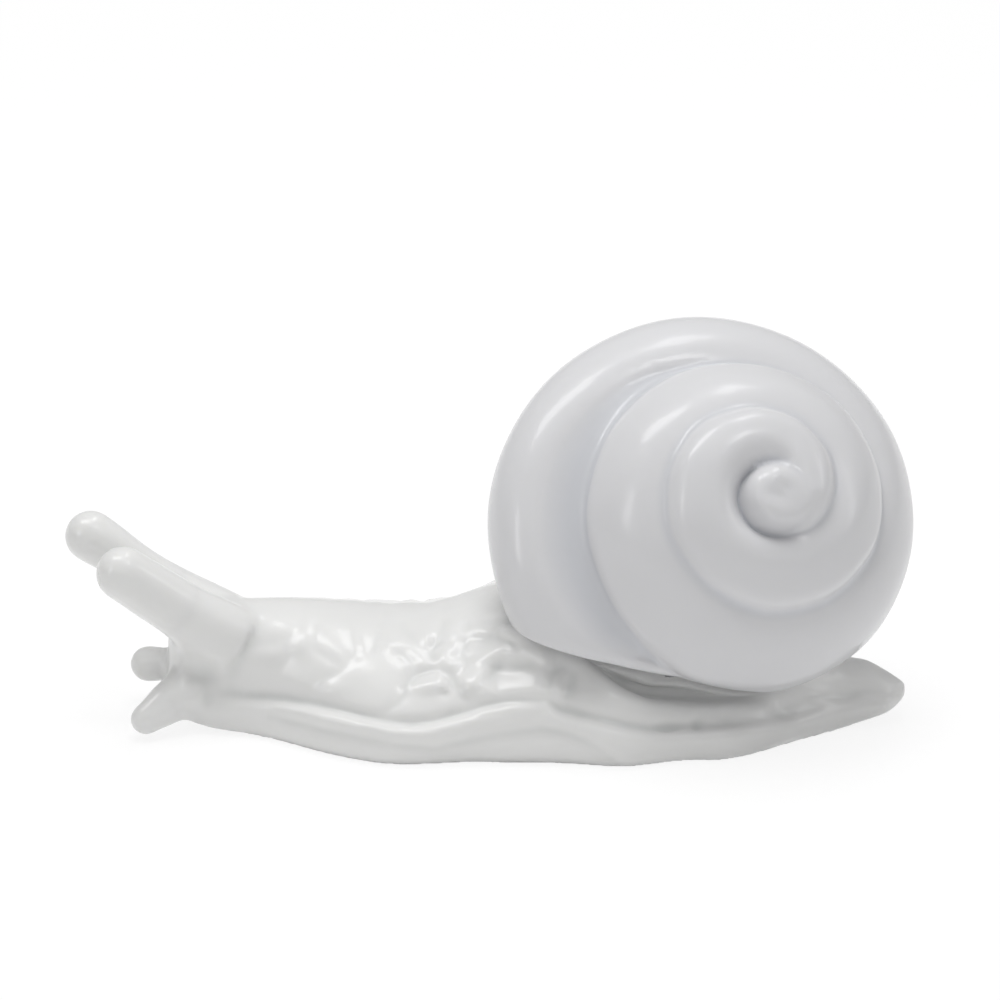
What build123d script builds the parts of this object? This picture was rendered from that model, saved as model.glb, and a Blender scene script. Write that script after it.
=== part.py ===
"""Porcelain snail ornament: body, spiral shell, two eye stalks and two feelers.

Millimetres. +Z is up, the head points to -X and the snail's left side faces -Y.
The origin is on the table, on the middle line of the flat sole.
"""
import os
from math import asin, cos, exp, pi, radians, sin, tau

from build123d import *

os.makedirs("parts", exist_ok=True)

# Foot: where its width changes along the snail, and how wide it is to each side
head_front = -77.0
throat_x = -66.0
chest_x = -37.0
flank_x = -15.0
lobe_x = 3.0
haunch_x = 19.0
tail_waist_x = 50.0
tail_tip = 54.4
head_half_width = 8.6
throat_half_width = 10.6
foot_half_width = 26.2
flank_half_width = 25.4
lobe_half_width = 27.2
haunch_half_width = 24.0
tail_waist_half_width = 5.5
tail_half_width = 3.2

# Back: height above the table along the snail
neck_x = -58.0
nape_x = -34.0
saddle_x = -12.0
tail_root_x = 34.0
tail_back_x = 46.0
head_height = 22.0
neck_height = 22.2
nape_height = 20.6
saddle_height = 25.0
tail_root_height = 16.0
tail_back_height = 12.6
tail_tip_height = 9.0

# Skirt round the foot: rounded edge, then a groove below the back
edge_height = 3.6
groove_height = 7.5
groove_depth = 2.4
groove_rise_height = 4.2
groove_rise_x = -14.0
groove_rise_length = 11.0
sole_inset_width = 2.4
wave_height = 0.3
wave_length = 19.0
thin_end_share = 0.5
edge_limit_share = 0.3
groove_limit_share = 0.55

# Ends of the body: how far they lift off the table and how they round off
chin_lift_x = -58.0
chin_lift_height = 2.2
tail_lift_x = 40.0
tail_lift_height = 4.2
sole_trim_height = 0.4
nose_length = 5.0
tip_length = 3.0
end_share = 0.35
end_sections = 4
body_sections = 28

# Shell: where its tip is, and how its axis leans to the snail's left
tip_x = 31.0
tip_y = -26.0
tip_z = 54.0
axis_rise_angle = 34.1
axis_swing_angle = 19.1
first_turn_angle = 78.5

# Shell: the line between two whorls, as distance from the axis and depth below the tip
suture_start_radius = 2.23
suture_radius_gain = 13.44
suture_radius_loss = 0.756
suture_depth_gain = 4.76
suture_depth_loss = 0.60
mouth_turns = 2.45

# Shell: the last whorl, which carries the widest rim
rim_start_radius = 30.7
rim_radius_gain = 18.8
rim_gain_power = 1.55
mouth_tuck_depth = 16.9
mouth_tuck_power = 13.5
rim_depth = 28.4
rim_depth_gain = 6.0
base_round_radius = 13.2
base_hollow_share = 0.75
bulge_share = 0.12
bulge_gain_share = 0.06
sections_per_turn = 28

# Shell: core down the axis and rounded button at the tip
core_radius = 2.5
core_overlap_width = 0.8
core_top_depth = 3.0
core_length = 36.0
core_start_power = 3
button_radius = 7.6
button_offset = 3.4
button_angle = 319.0
button_depth = 5.2

# Shell: cast hollow inside
hollow_top_depth = 8.0
hollow_top_radius = 8.0
hollow_radius = 23.0
hollow_length = 27.0

# Seat of the shell on the body: a level flat, and a sloping one across its mouth
seat_height = 10.0
mouth_height = 17.1
mouth_slope_angle = 15.0
mouth_bank_angle = 4.8
seat_clearance = 0.3

# Pour hole up through the sole into the hollow of the shell
pour_hole_radius = 5.0
pour_hole_x = 23.0
pour_hole_y = -4.0
pour_hole_length = 13.0
cut_overrun_length = 10.0

# Eye stalks: roots behind the front of the head, ends ahead of it
stalk_root_radius = 4.7
stalk_waist_radius = 4.1
stalk_bulb_radius = 4.5
stalk_seat_depth = 5.0
stalk_root_back = 11.6
stalk_root_side = 4.9
stalk_root_height = 15.8
left_stalk_ahead = 8.4
left_stalk_side = 8.8
left_stalk_height = 30.8
right_stalk_ahead = 13.8
right_stalk_side = 8.6
right_stalk_height = 31.2

# Feelers
feeler_root_radius = 3.8
feeler_waist_radius = 3.2
left_feeler_bulb_radius = 2.8
right_feeler_bulb_radius = 3.4
feeler_seat_depth = 3.0
feeler_root_back = 6.0
feeler_root_side = 4.6
feeler_root_height = 9.0
left_feeler_ahead = 4.4
left_feeler_side = 11.5
left_feeler_height = 3.6
right_feeler_ahead = 3.4
right_feeler_side = 8.6
right_feeler_height = 7.5

# Shared by the stalks and feelers
waist_share = 0.55
socket_depth = 12.0
fit_clearance = 0.05


def blend(x, stations, sizes):
    """Size at x, easing from each station to the next one."""
    size = sizes[0]
    for start, end, last, following in zip(stations, stations[1:], sizes, sizes[1:]):
        share = min(max((x - start) / (end - start), 0), 1)
        size += (following - last) * share ** 2 * (3 - 2 * share)
    return size


def half_width(x):
    """Half width of the skirt, with its wavy lobes."""
    stations = (head_front, throat_x, chest_x, flank_x, lobe_x, haunch_x, tail_waist_x, tail_tip)
    widths = (
        head_half_width, throat_half_width, foot_half_width, flank_half_width,
        lobe_half_width, haunch_half_width, tail_waist_half_width, tail_half_width,
    )
    wide = blend(x, stations, widths)
    return wide + wave_height * sin(tau * x / wave_length) * wide / foot_half_width


def back_height(x):
    stations = (head_front, neck_x, nape_x, saddle_x, tail_root_x, tail_back_x, tail_tip)
    heights = (
        head_height, neck_height, nape_height, saddle_height,
        tail_root_height, tail_back_height, tail_tip_height,
    )
    return blend(x, stations, heights)


def sole_height(x):
    """Underside before it is trimmed flat, between the lifted chin and the lifted tail."""
    chin = max(chin_lift_x - x, 0) / (chin_lift_x - head_front)
    tail = max(x - tail_lift_x, 0) / (tail_tip - tail_lift_x)
    return chin_lift_height * chin ** 2 + tail_lift_height * tail ** 2 - sole_trim_height


def body_section(x, size_share):
    """Outline across the body: flat sole, rounded skirt edge, groove and arched back."""
    low, top, wide = sole_height(x), back_height(x), half_width(x)
    middle = (low + top) / 2
    low = middle + (low - middle) * size_share
    top = middle + (top - middle) * size_share
    wide = wide * size_share
    thin = min(1, wide / foot_half_width + thin_end_share)
    rise = groove_rise_height * exp(-((x - groove_rise_x) / groove_rise_length) ** 2)
    edge = low + min(edge_height * thin, (top - low) * edge_limit_share)
    groove = low + min(groove_height * thin + rise, (top - low) * groove_limit_share)
    flat = max(wide - sole_inset_width * thin, wide / 2)
    inner = max(wide - groove_depth * thin, wide / 2)
    with BuildSketch(Plane.YZ.offset(x)) as outline:
        with BuildLine():
            Line((-flat, low), (flat, low))
            ThreePointArc((flat, low), (wide, edge), (inner, groove))
            ThreePointArc((inner, groove), (0, top), (-inner, groove))
            ThreePointArc((-inner, groove), (-wide, edge), (-flat, low))
        make_face()
    return outline.sketch


def suture(turn):
    """Radius and depth of the line between two whorls after so many turns from the tip."""
    radius = suture_start_radius + suture_radius_gain * turn - suture_radius_loss * turn ** 2
    depth = suture_depth_gain * turn ** 2 - suture_depth_loss * turn
    return radius, depth


def bulge_point(start, end, share):
    """Middle of an arc that bulges outward between two points of the shell's profile."""
    out, down = end[0] - start[0], end[1] - start[1]
    return (start[0] + end[0]) / 2 + share * down, (start[1] + end[1]) / 2 - share * out


rise, swing = radians(axis_rise_angle), radians(axis_swing_angle)
shell_frame = Plane(
    origin=(tip_x, tip_y, tip_z),
    x_dir=(cos(swing), sin(swing), 0),
    z_dir=(cos(rise) * sin(swing), -cos(rise) * cos(swing), sin(rise)),
)


def shell_section(turned_share, grow):
    """Half profile of the shell on a plane through its axis, some share of the last turn along.

    Three whorls lie one outside the other. grow moves the last one outward all round.
    """
    angle = radians(first_turn_angle) + tau * (mouth_turns + turned_share)
    outward = shell_frame.x_dir * cos(angle) + shell_frame.y_dir * sin(angle)

    start = turned_share ** core_start_power
    first_radius, first_depth = suture(mouth_turns - 2)
    inner = (core_radius + (first_radius - core_radius) * start, first_depth * start)
    middle = suture(mouth_turns - 2 + turned_share)
    outer_radius, outer_depth = suture(mouth_turns - 1 + turned_share)
    outer = (outer_radius + grow, outer_depth)

    rim = rim_start_radius + grow + rim_radius_gain * turned_share ** rim_gain_power
    rim -= mouth_tuck_depth * turned_share ** mouth_tuck_power
    level = rim_depth + rim_depth_gain * turned_share
    out, down = rim - outer_radius - grow, level - outer_depth
    shoulder = (out ** 2 + down ** 2) / (2 * out)
    half_arc = asin(down / shoulder) / 2
    round_point = (rim - shoulder * (1 - cos(half_arc)), level - shoulder * sin(half_arc))
    under = base_round_radius + grow
    corner = (rim - under * (1 - cos(pi / 4)), level + under * sin(pi / 4))
    low = (rim - under, level + under)
    base = (core_radius, level + base_round_radius * base_hollow_share + grow)

    profile = [
        inner,
        bulge_point(inner, middle, bulge_share + bulge_gain_share * (2 - turned_share)),
        middle,
        bulge_point(middle, outer, bulge_share + bulge_gain_share * (1 - turned_share)),
        outer,
        round_point,
        (rim, level),
        corner,
        low,
        base,
        (core_radius, core_top_depth),
    ]
    spots = [(radius, -depth) for radius, depth in profile]
    plane = Plane(shell_frame.origin, x_dir=outward, z_dir=outward.cross(shell_frame.z_dir))
    with BuildSketch(plane) as outline:
        with BuildLine():
            ThreePointArc(*spots[0:3])
            ThreePointArc(*spots[2:5])
            ThreePointArc(*spots[4:7])
            ThreePointArc(*spots[6:9])
            Polyline(*spots[8:], spots[0])
        make_face()
    return outline.sketch


def spiral(grow):
    """The wound solid: two lofted half turns round a core."""
    count = sections_per_turn
    sections = [shell_section(step / count, grow) for step in range(count + 1)]
    with BuildPart() as wound:
        loft(sections[:count // 2 + 1])
        loft(sections[count // 2:])
        with BuildSketch(shell_frame.offset(-core_top_depth)):
            Circle(core_radius + core_overlap_width)
        extrude(amount=-core_length)
    return wound.part


level_seat = Plane.XY.offset(seat_height)
mouth_seat = Plane.XY.offset(mouth_height).rotated((-mouth_bank_angle, mouth_slope_angle, 0))

# Shell: wound spiral with a rounded button at its tip, cast hollow, cut flat where it sits
button_angle_radians = radians(button_angle)
button_spot = shell_frame.from_local_coords((
    button_offset * cos(button_angle_radians),
    button_offset * sin(button_angle_radians),
    -button_depth,
))
with BuildPart() as shell:
    add(spiral(0))
    with Locations(button_spot):
        Sphere(button_radius)
    with BuildSketch(shell_frame.offset(-hollow_top_depth)):
        Circle(hollow_top_radius)
    with BuildSketch(shell_frame.offset(-hollow_top_depth - hollow_length)):
        Circle(hollow_radius)
    loft(mode=Mode.SUBTRACT)
    split(bisect_by=level_seat, keep=Keep.TOP)
    split(bisect_by=mouth_seat, keep=Keep.TOP)
    with BuildSketch(level_seat):
        with Locations((pour_hole_x, pour_hole_y)):
            Circle(pour_hole_radius)
    extrude(amount=pour_hole_length, mode=Mode.SUBTRACT)
shell.part.label = "shell"
export_step(shell.part, "parts/shell.step")

# Room that the body leaves for the shell: the same spiral, a clearance larger
with BuildPart() as nest:
    add(spiral(seat_clearance))
    split(bisect_by=level_seat, keep=Keep.TOP)
    split(bisect_by=mouth_seat, keep=Keep.TOP)


def horn_plane(root, end):
    """Plane across the root of a horn, looking towards its rounded end."""
    return Plane(origin=root, z_dir=Vector(*end) - Vector(*root))


def horn(root, end, root_radius, waist_radius, bulb_radius, seat_depth):
    """A rolled clay horn: straight root for its socket, waist, and rounded end."""
    length = (Vector(*end) - Vector(*root)).length
    root_plane = horn_plane(root, end)
    waist_height = seat_depth + (length - seat_depth) * waist_share
    with BuildPart() as rolled:
        with BuildSketch(root_plane):
            Circle(root_radius)
        extrude(amount=seat_depth)
        with BuildSketch(root_plane.offset(seat_depth)):
            Circle(root_radius)
        with BuildSketch(root_plane.offset(waist_height)):
            Circle(waist_radius)
        with BuildSketch(root_plane.offset(length)):
            Circle(bulb_radius)
        loft()
        with Locations(end):
            Sphere(bulb_radius)
    return rolled.part


stalk_root_x = head_front + stalk_root_back
feeler_root_x = head_front + feeler_root_back
horns = {
    "eye_stalk_left": (
        (stalk_root_x, -stalk_root_side, stalk_root_height),
        (head_front - left_stalk_ahead, -left_stalk_side, left_stalk_height),
        stalk_root_radius, stalk_waist_radius, stalk_bulb_radius, stalk_seat_depth,
    ),
    "eye_stalk_right": (
        (stalk_root_x, stalk_root_side, stalk_root_height),
        (head_front - right_stalk_ahead, right_stalk_side, right_stalk_height),
        stalk_root_radius, stalk_waist_radius, stalk_bulb_radius, stalk_seat_depth,
    ),
    "feeler_left": (
        (feeler_root_x, -feeler_root_side, feeler_root_height),
        (head_front - left_feeler_ahead, -left_feeler_side, left_feeler_height),
        feeler_root_radius, feeler_waist_radius, left_feeler_bulb_radius, feeler_seat_depth,
    ),
    "feeler_right": (
        (feeler_root_x, feeler_root_side, feeler_root_height),
        (head_front - right_feeler_ahead, right_feeler_side, right_feeler_height),
        feeler_root_radius, feeler_waist_radius, right_feeler_bulb_radius, feeler_seat_depth,
    ),
}
for name, sizes in horns.items():
    piece = horn(*sizes)
    piece.label = name
    export_step(piece, f"parts/{name}.step")

# Body: lofted head, neck, foot and tail, with the nest for the shell and sockets for the horns
end_turns = [pi / 2 * step / end_sections for step in range(end_sections)]
main_start = head_front + nose_length
main_end = tail_tip - tip_length
sections = [
    body_section(head_front + nose_length * (1 - cos(turn)), end_share + (1 - end_share) * sin(turn))
    for turn in end_turns
]
sections += [
    body_section(main_start + (main_end - main_start) * step / body_sections, 1)
    for step in range(body_sections + 1)
]
sections += [
    body_section(tail_tip - tip_length * (1 - cos(turn)), end_share + (1 - end_share) * sin(turn))
    for turn in reversed(end_turns)
]
with BuildPart() as body:
    loft(sections)
    split(bisect_by=Plane.XY, keep=Keep.TOP)
    add(nest.part, mode=Mode.SUBTRACT)
    with BuildSketch(Plane.XY):
        with Locations((pour_hole_x, pour_hole_y)):
            Circle(pour_hole_radius)
    extrude(amount=seat_height + cut_overrun_length, mode=Mode.SUBTRACT)
    for root, end, root_radius, *rest in horns.values():
        with BuildSketch(horn_plane(root, end)):
            Circle(root_radius + fit_clearance)
        extrude(amount=socket_depth, mode=Mode.SUBTRACT)
body.part.label = "body"
export_step(body.part, "parts/body.step")
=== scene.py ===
"""Looks of the porcelain snail: the glazed casting, its horns and its shell, on a pale table.

Sizes are in millimetres in the row frame, and every mesh is scaled to metres as it is made.
"""
import math

import bmesh
import bpy
import numpy as np
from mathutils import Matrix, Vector


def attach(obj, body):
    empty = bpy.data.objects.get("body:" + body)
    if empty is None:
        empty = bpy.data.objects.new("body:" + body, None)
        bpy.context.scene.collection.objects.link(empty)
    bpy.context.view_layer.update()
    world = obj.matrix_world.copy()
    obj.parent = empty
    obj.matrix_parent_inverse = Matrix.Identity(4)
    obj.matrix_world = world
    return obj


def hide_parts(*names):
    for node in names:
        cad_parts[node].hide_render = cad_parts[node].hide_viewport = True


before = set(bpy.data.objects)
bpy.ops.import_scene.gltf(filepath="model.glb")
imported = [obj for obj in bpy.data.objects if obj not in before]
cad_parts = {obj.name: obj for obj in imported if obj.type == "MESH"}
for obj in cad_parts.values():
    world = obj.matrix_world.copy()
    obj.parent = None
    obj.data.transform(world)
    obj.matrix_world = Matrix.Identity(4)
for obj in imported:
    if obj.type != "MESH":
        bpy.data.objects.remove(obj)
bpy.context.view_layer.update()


# Body casting
# The foot, neck and head are one slip-cast porcelain piece, flat underneath. Its skirt
# ripples round the foot, a groove runs above it, and soft skin plates cover the neck.
MM = 0.001
VIEW_RISE = math.radians(20)  # how far above the table the photo's camera stands

nose_x, tail_x = -77.0, 54.4
skirt_stations = (nose_x, -66.0, -37.0, -15.0, 3.0, 19.0, 50.0, tail_x)
skirt_widths = (8.8, 11.0, 26.6, 25.8, 27.7, 24.5, 5.9, 3.4)
foot_wide, wave_height, wave_length = 26.2, 0.3, 19.0
back_stations = (nose_x, -58.0, -34.0, -12.0, 34.0, 46.0, tail_x)
back_heights = (22.0, 22.0, 20.2, 25.0, 15.8, 10.9, 7.4)
groove_stations = (nose_x, -61.7, -55.3, -50.1, -33.7, -28.0, -20.3, -10.7, -2.5, 7.1, 13.7, 30.0, tail_x)
groove_heights = (6.4, 7.3, 8.0, 8.5, 7.9, 9.1, 11.4, 12.1, 9.6, 7.2, 6.8, 6.8, 6.8)
skirt_edge_height = 3.6
skirt_groove_inset = 2.4
sole_inset = 2.4
chin_lift_x, chin_lift = -58.0, 2.2
tail_lift_x, tail_lift = 40.0, 3.7
nose_length, tip_length, blunt_share = 5.0, 3.0, 0.35
edge_limit_share, groove_limit_share, slimmest_share = 0.3, 0.55, 0.5
station_gap, end_sections = 0.7, 11
sole_points, skirt_points, back_points = 30, 22, 120
sponge_stroke = 0.6


def eased(x, stations, sizes):
    """Size at x, easing from each station to the next one."""
    size = np.full(np.shape(x), float(sizes[0]))
    for start, end, last, following in zip(stations, stations[1:], sizes, sizes[1:]):
        share = np.clip((x - start) / (end - start), 0, 1)
        size = size + (following - last) * share ** 2 * (3 - 2 * share)
    return size


def bump(distance, reach):
    return np.exp(-(distance / reach) ** 2)


def skirt_half_width(x):
    wide = eased(x, skirt_stations, skirt_widths)
    return wide + wave_height * np.sin(math.tau * x / wave_length) * wide / foot_wide


def arc_through(first, middle, last, count):
    """Points on the circle through three points of a section, first and last included."""
    (ax, ay), (bx, by), (cx, cy) = first, middle, last
    d = 2 * (ax * (by - cy) + bx * (cy - ay) + cx * (ay - by))
    a2, b2, c2 = ax * ax + ay * ay, bx * bx + by * by, cx * cx + cy * cy
    ux = (a2 * (by - cy) + b2 * (cy - ay) + c2 * (ay - by)) / d
    uy = (a2 * (cx - bx) + b2 * (ax - cx) + c2 * (bx - ax)) / d
    start = math.atan2(ay - uy, ax - ux)
    through = (math.atan2(by - uy, bx - ux) - start) % math.tau
    sweep = (math.atan2(cy - uy, cx - ux) - start) % math.tau
    if through > sweep:
        sweep -= math.tau
    radius = math.hypot(ax - ux, ay - uy)
    turn = start + sweep * np.linspace(0, 1, count)
    return np.stack([ux + radius * np.cos(turn), uy + radius * np.sin(turn)], 1)


def body_ring(x, size_share):
    """One closed section across the body: sole, rounded skirt, groove and arched back."""
    chin = max(chin_lift_x - x, 0) / (chin_lift_x - nose_x)
    tail = max(x - tail_lift_x, 0) / (tail_x - tail_lift_x)
    low = chin_lift * chin ** 2 + tail_lift * tail ** 2
    top = float(eased(x, back_stations, back_heights))
    middle = (low + top) / 2
    low = middle + (low - middle) * size_share
    top = middle + (top - middle) * size_share
    wide = float(skirt_half_width(x)) * size_share
    thin = min(1, wide / foot_wide + slimmest_share)
    edge = low + min(skirt_edge_height * thin, (top - low) * edge_limit_share)
    groove_rise = float(eased(x, groove_stations, groove_heights))
    groove = low + min(groove_rise, (top - low) * groove_limit_share)
    flat = max(wide - sole_inset * thin, wide / 2)
    inner = max(wide - skirt_groove_inset * thin, wide / 2)
    sole = np.stack([np.linspace(-flat, flat, sole_points), np.full(sole_points, low)], 1)
    skirt = arc_through((flat, low), (wide, edge), (inner, groove), skirt_points)
    back = arc_through((inner, groove), (0, top), (-inner, groove), back_points)
    other = (skirt * (-1, 1))[::-1]
    ring = np.concatenate([sole, skirt[1:], back[1:], other[1:-1]])
    return np.column_stack([np.full(len(ring), x), ring])


def tube_faces(rings, around):
    """Quads between rings of points, with both ends closed by one face each."""
    row = np.arange(rings - 1)[:, None] * around
    step = np.arange(around)[None, :]
    following = (step + 1) % around
    quads = np.stack([row + step, row + following, row + around + following, row + around + step], -1)
    faces = quads.reshape(-1, 4).tolist()
    faces.append(list(range(around))[::-1])
    faces.append(list(range((rings - 1) * around, rings * around)))
    return faces


def piece_from(name, points, faces):
    """A new object whose points are given in millimetres."""
    mesh = bpy.data.meshes.new(name)
    mesh.from_pydata((np.asarray(points) * MM).tolist(), [], faces)
    mesh.validate()
    piece = bpy.data.objects.new(name, mesh)
    bpy.context.scene.collection.objects.link(piece)
    return piece


def points_of(mesh):
    points = np.zeros(len(mesh.vertices) * 3)
    mesh.vertices.foreach_get("co", points)
    return points.reshape(-1, 3) / MM


def normals_of(mesh):
    normals = np.zeros(len(mesh.vertices) * 3)
    mesh.vertex_normals.foreach_get("vector", normals)
    return normals.reshape(-1, 3)


def place_points(mesh, points):
    mesh.vertices.foreach_set("co", (points * MM).astype(np.float32).ravel())
    mesh.update()


def edges_of(mesh):
    ends = np.zeros(len(mesh.edges) * 2, np.int32)
    mesh.edges.foreach_get("vertices", ends)
    return ends.reshape(-1, 2)


def neighbour_mean(values, ends):
    """Mean of each point's neighbours along its edges."""
    total = np.zeros_like(values)
    count = np.bincount(ends.ravel(), minlength=len(values)).astype(float)
    for axis in range(values.shape[1]):
        total[:, axis] = np.bincount(ends[:, 0], values[ends[:, 1], axis], len(values))
        total[:, axis] += np.bincount(ends[:, 1], values[ends[:, 0], axis], len(values))
    return total / np.maximum(count, 1)[:, None]


def sponged(points, ends, weight, rounds):
    """Points smoothed as a damp sponge does, by their weight."""
    for _ in range(rounds):
        points = points + weight[:, None] * sponge_stroke * (neighbour_mean(points, ends) - points)
    return points


def apply_modifiers(piece):
    graph = bpy.context.evaluated_depsgraph_get()
    made = bpy.data.meshes.new_from_object(piece.evaluated_get(graph))
    piece.modifiers.clear()
    old, piece.data = piece.data, made
    bpy.data.meshes.remove(old)
    made.name = piece.name


main_x = np.linspace(
    nose_x + nose_length, tail_x - tip_length,
    int((tail_x - tip_length - nose_x - nose_length) / station_gap),
)
end_turns = np.linspace(0, math.pi / 2, end_sections + 1)[:-1]
end_shares = blunt_share + (1 - blunt_share) * np.sin(end_turns)
nose_ring_x = nose_x + nose_length * (1 - np.cos(end_turns))
tip_ring_x = tail_x - tip_length * (1 - np.cos(end_turns))
body_rings = [body_ring(float(x), float(share)) for x, share in zip(nose_ring_x, end_shares)]
body_rings += [body_ring(x, 1) for x in main_x]
body_rings += [
    body_ring(float(x), float(share)) for x, share in zip(tip_ring_x[::-1], end_shares[::-1])
]

# Where the shell sits
# The shell is a separate casting, stuck with slip onto a level seat and a sloping one.
# Its line between two whorls winds out from the tip, which faces the snail's left.
shell_tip = np.array([31.0, -26.0, 54.0])
axis_rise, axis_swing = math.radians(34.1), math.radians(19.1)
shell_out = np.array([math.cos(axis_swing), math.sin(axis_swing), 0])
shell_axis = np.array([
    math.cos(axis_rise) * math.sin(axis_swing),
    -math.cos(axis_rise) * math.cos(axis_swing),
    math.sin(axis_rise),
])
shell_side = np.cross(shell_axis, shell_out)
first_turn = math.radians(78.5)
mouth_turns = 2.45
seat_level = 10.0
mouth_spot = np.array([0.0, 0.0, 17.1])
mouth_normal = np.array([0.2588, 0.0808, 0.9625])
line_start, line_gain, line_slowing = 2.23, 13.44, 0.756
line_drop, line_rise = 4.76, 0.60
rim_start, rim_gain, rim_gain_power = 30.7, 18.8, 1.55
mouth_tuck, mouth_tuck_power = 16.9, 13.5
rim_depth, rim_sinking, under_radius = 28.4, 6.0, 13.2
seat_inset, seat_drop = 1.2, 0.2


def suture(turn):
    """Radius and depth of the line between two whorls, so many turns out from the tip."""
    radius = line_start + line_gain * turn - line_slowing * turn ** 2
    return radius, line_drop * turn ** 2 - line_rise * turn


def rim_of(share):
    """Radius and depth of the last whorl's widest line, some share of its turn along."""
    radius = rim_start + rim_gain * share ** rim_gain_power - mouth_tuck * share ** mouth_tuck_power
    return radius, rim_depth + rim_sinking * share


def inside_shell(points):
    """How far each point lies inside the last whorl, in millimetres; below 0 is outside."""
    local = points - shell_tip
    across, up, depth = local @ shell_out, local @ shell_side, -(local @ shell_axis)
    radius = np.hypot(across, up)
    share = ((np.arctan2(up, across) - first_turn) / math.tau - mouth_turns) % 1
    start_radius, start_depth = suture(mouth_turns - 1 + share)
    rim, level = rim_of(share)
    out, down = rim - start_radius, level - start_depth
    shoulder = (out ** 2 + down ** 2) / (2 * out)
    upper = shoulder - np.hypot(radius - rim + shoulder, np.minimum(depth - level, 0))
    under = under_radius - np.hypot(radius - rim + under_radius, np.maximum(depth - level, 0))
    return np.where(depth < level, upper, under)


def seat_height(points):
    """Height of the seat below the shell, at each point."""
    x, y = points[:, 0], points[:, 1]
    slope = mouth_spot[2] - (mouth_normal[0] * x + mouth_normal[1] * y) / mouth_normal[2]
    return np.maximum(slope, seat_level)


# The back is cut down to the seat, a little inside the shell's outline
body_points = np.concatenate(body_rings)
cut_height = seat_height(body_points) - seat_drop
over_seat = (inside_shell(body_points) > seat_inset) & (body_points[:, 2] > cut_height)
body_points[over_seat, 2] = cut_height[over_seat]
body = piece_from("snail_body", body_points, tube_faces(len(body_rings), len(body_rings[0])))

# The mantle climbs the shell's lower left corner with a soft lip: x, height on the drawing
# and radius of the lip. Each spot is carried along the view onto the shell's skin.
lip_line = [
    (-18.4, 16.2, 0.4), (-17.5, 15.6, 1.4), (-16.4, 15.0, 2.4),
    (-14.8, 13.9, 3.0), (-13.0, 12.4, 2.8), (-11.4, 11.0, 2.2), (-10.0, 9.8, 1.2),
]
lip_sunk_share, lip_points = 0.8, 24
sight = np.linspace(60, -20, 801)[:, None]
toward_camera = np.array([0, -math.cos(VIEW_RISE), math.sin(VIEW_RISE)])
drawing_up = np.array([0, math.sin(VIEW_RISE), math.cos(VIEW_RISE)])
lip_spots = []
for lip_x, lip_height, lip_radius in lip_line:
    ray = np.array([lip_x, 0, 0]) + drawing_up * lip_height + sight * toward_camera
    inside = inside_shell(ray)
    hits = np.flatnonzero(inside > 0)
    met = ray[hits[0] if len(hits) else int(np.argmax(inside))]
    lip_spots.append(met - toward_camera * lip_radius * lip_sunk_share)
lip_spots = np.array(lip_spots)
runs = np.gradient(lip_spots, axis=0)
runs /= np.linalg.norm(runs, axis=1)[:, None]
circle = np.linspace(0, math.tau, lip_points, endpoint=False)[:, None]
lip_rings = []
for spot, run, (_, _, lip_radius) in zip(lip_spots, runs, lip_line):
    side = np.cross(run, toward_camera)
    side /= np.linalg.norm(side)
    front = np.cross(side, run)
    lip_rings.append(spot + lip_radius * (np.cos(circle) * side + np.sin(circle) * front))
lip = piece_from("mantle_lip", np.concatenate(lip_rings), tube_faces(len(lip_rings), lip_points))

# Eye stalks and feelers
# Four horns are rolled from the same clay, luted on with slip and sponged smooth, so
# that each root flows into the head. Each has a rounded knob at its end.
horns = {
    "eye_stalk_left": {
        "root": (-65.4, -4.9, 15.8), "end": (-85.0, -8.8, 30.4),
        "radii": (6.6, 5.2, 4.9), "cut": 12.0,
    },
    "eye_stalk_right": {
        "root": (-65.4, 4.9, 15.8), "end": (-90.8, 8.6, 31.2),
        "radii": (5.2, 3.7, 4.6), "cut": 12.5,
    },
    "feeler_left": {
        "root": (-71.0, -4.6, 9.0), "end": (-80.9, -11.5, 3.8),
        "radii": (5.4, 4.0, 3.0), "cut": 8.5,
    },
    "feeler_right": {
        "root": (-71.0, 4.6, 9.0), "end": (-80.4, 8.6, 7.0),
        "radii": (4.0, 3.3, 3.4), "cut": 7.5,
    },
}
waist_share, ring_gap, horn_around = 0.62, 0.7, 48
# Where the skin is smoothed round each root: share of the way to the cut, and reach
joint_share, root_reach, root_strength = 0.62, 1.5, 1.3


def horn_points(root, end, radii):
    """Rings of a horn: a root inside the head, a slimmer waist and a rounded knob."""
    root, end = np.array(root), np.array(end)
    length = np.linalg.norm(end - root)
    along = (end - root) / length
    side = np.cross(along, (0, 0, 1))
    side /= np.linalg.norm(side)
    up = np.cross(side, along)
    root_radius, waist_radius, knob_radius = radii
    stations = (0, waist_share * length, length)
    rings = []
    straight = np.arange(0, length, ring_gap)
    spots = [(s, float(eased(s, stations, (root_radius, waist_radius, knob_radius)))) for s in straight]
    for turn in np.linspace(0, math.pi / 2, 14)[:-1]:
        spots.append((length + knob_radius * math.sin(turn), knob_radius * math.cos(turn)))
    spots.append((length + knob_radius * 0.998, knob_radius * 0.06))
    circle = np.linspace(0, math.tau, horn_around, endpoint=False)[:, None]
    for s, radius in spots:
        rings.append(root + along * s + radius * (np.cos(circle) * side + np.sin(circle) * up))
    return np.concatenate(rings), len(rings)


parts = [body, lip]
for name, horn in horns.items():
    points, rings = horn_points(horn["root"], horn["end"], horn["radii"])
    parts.append(piece_from(name + "_rolled", points, tube_faces(rings, horn_around)))

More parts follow.
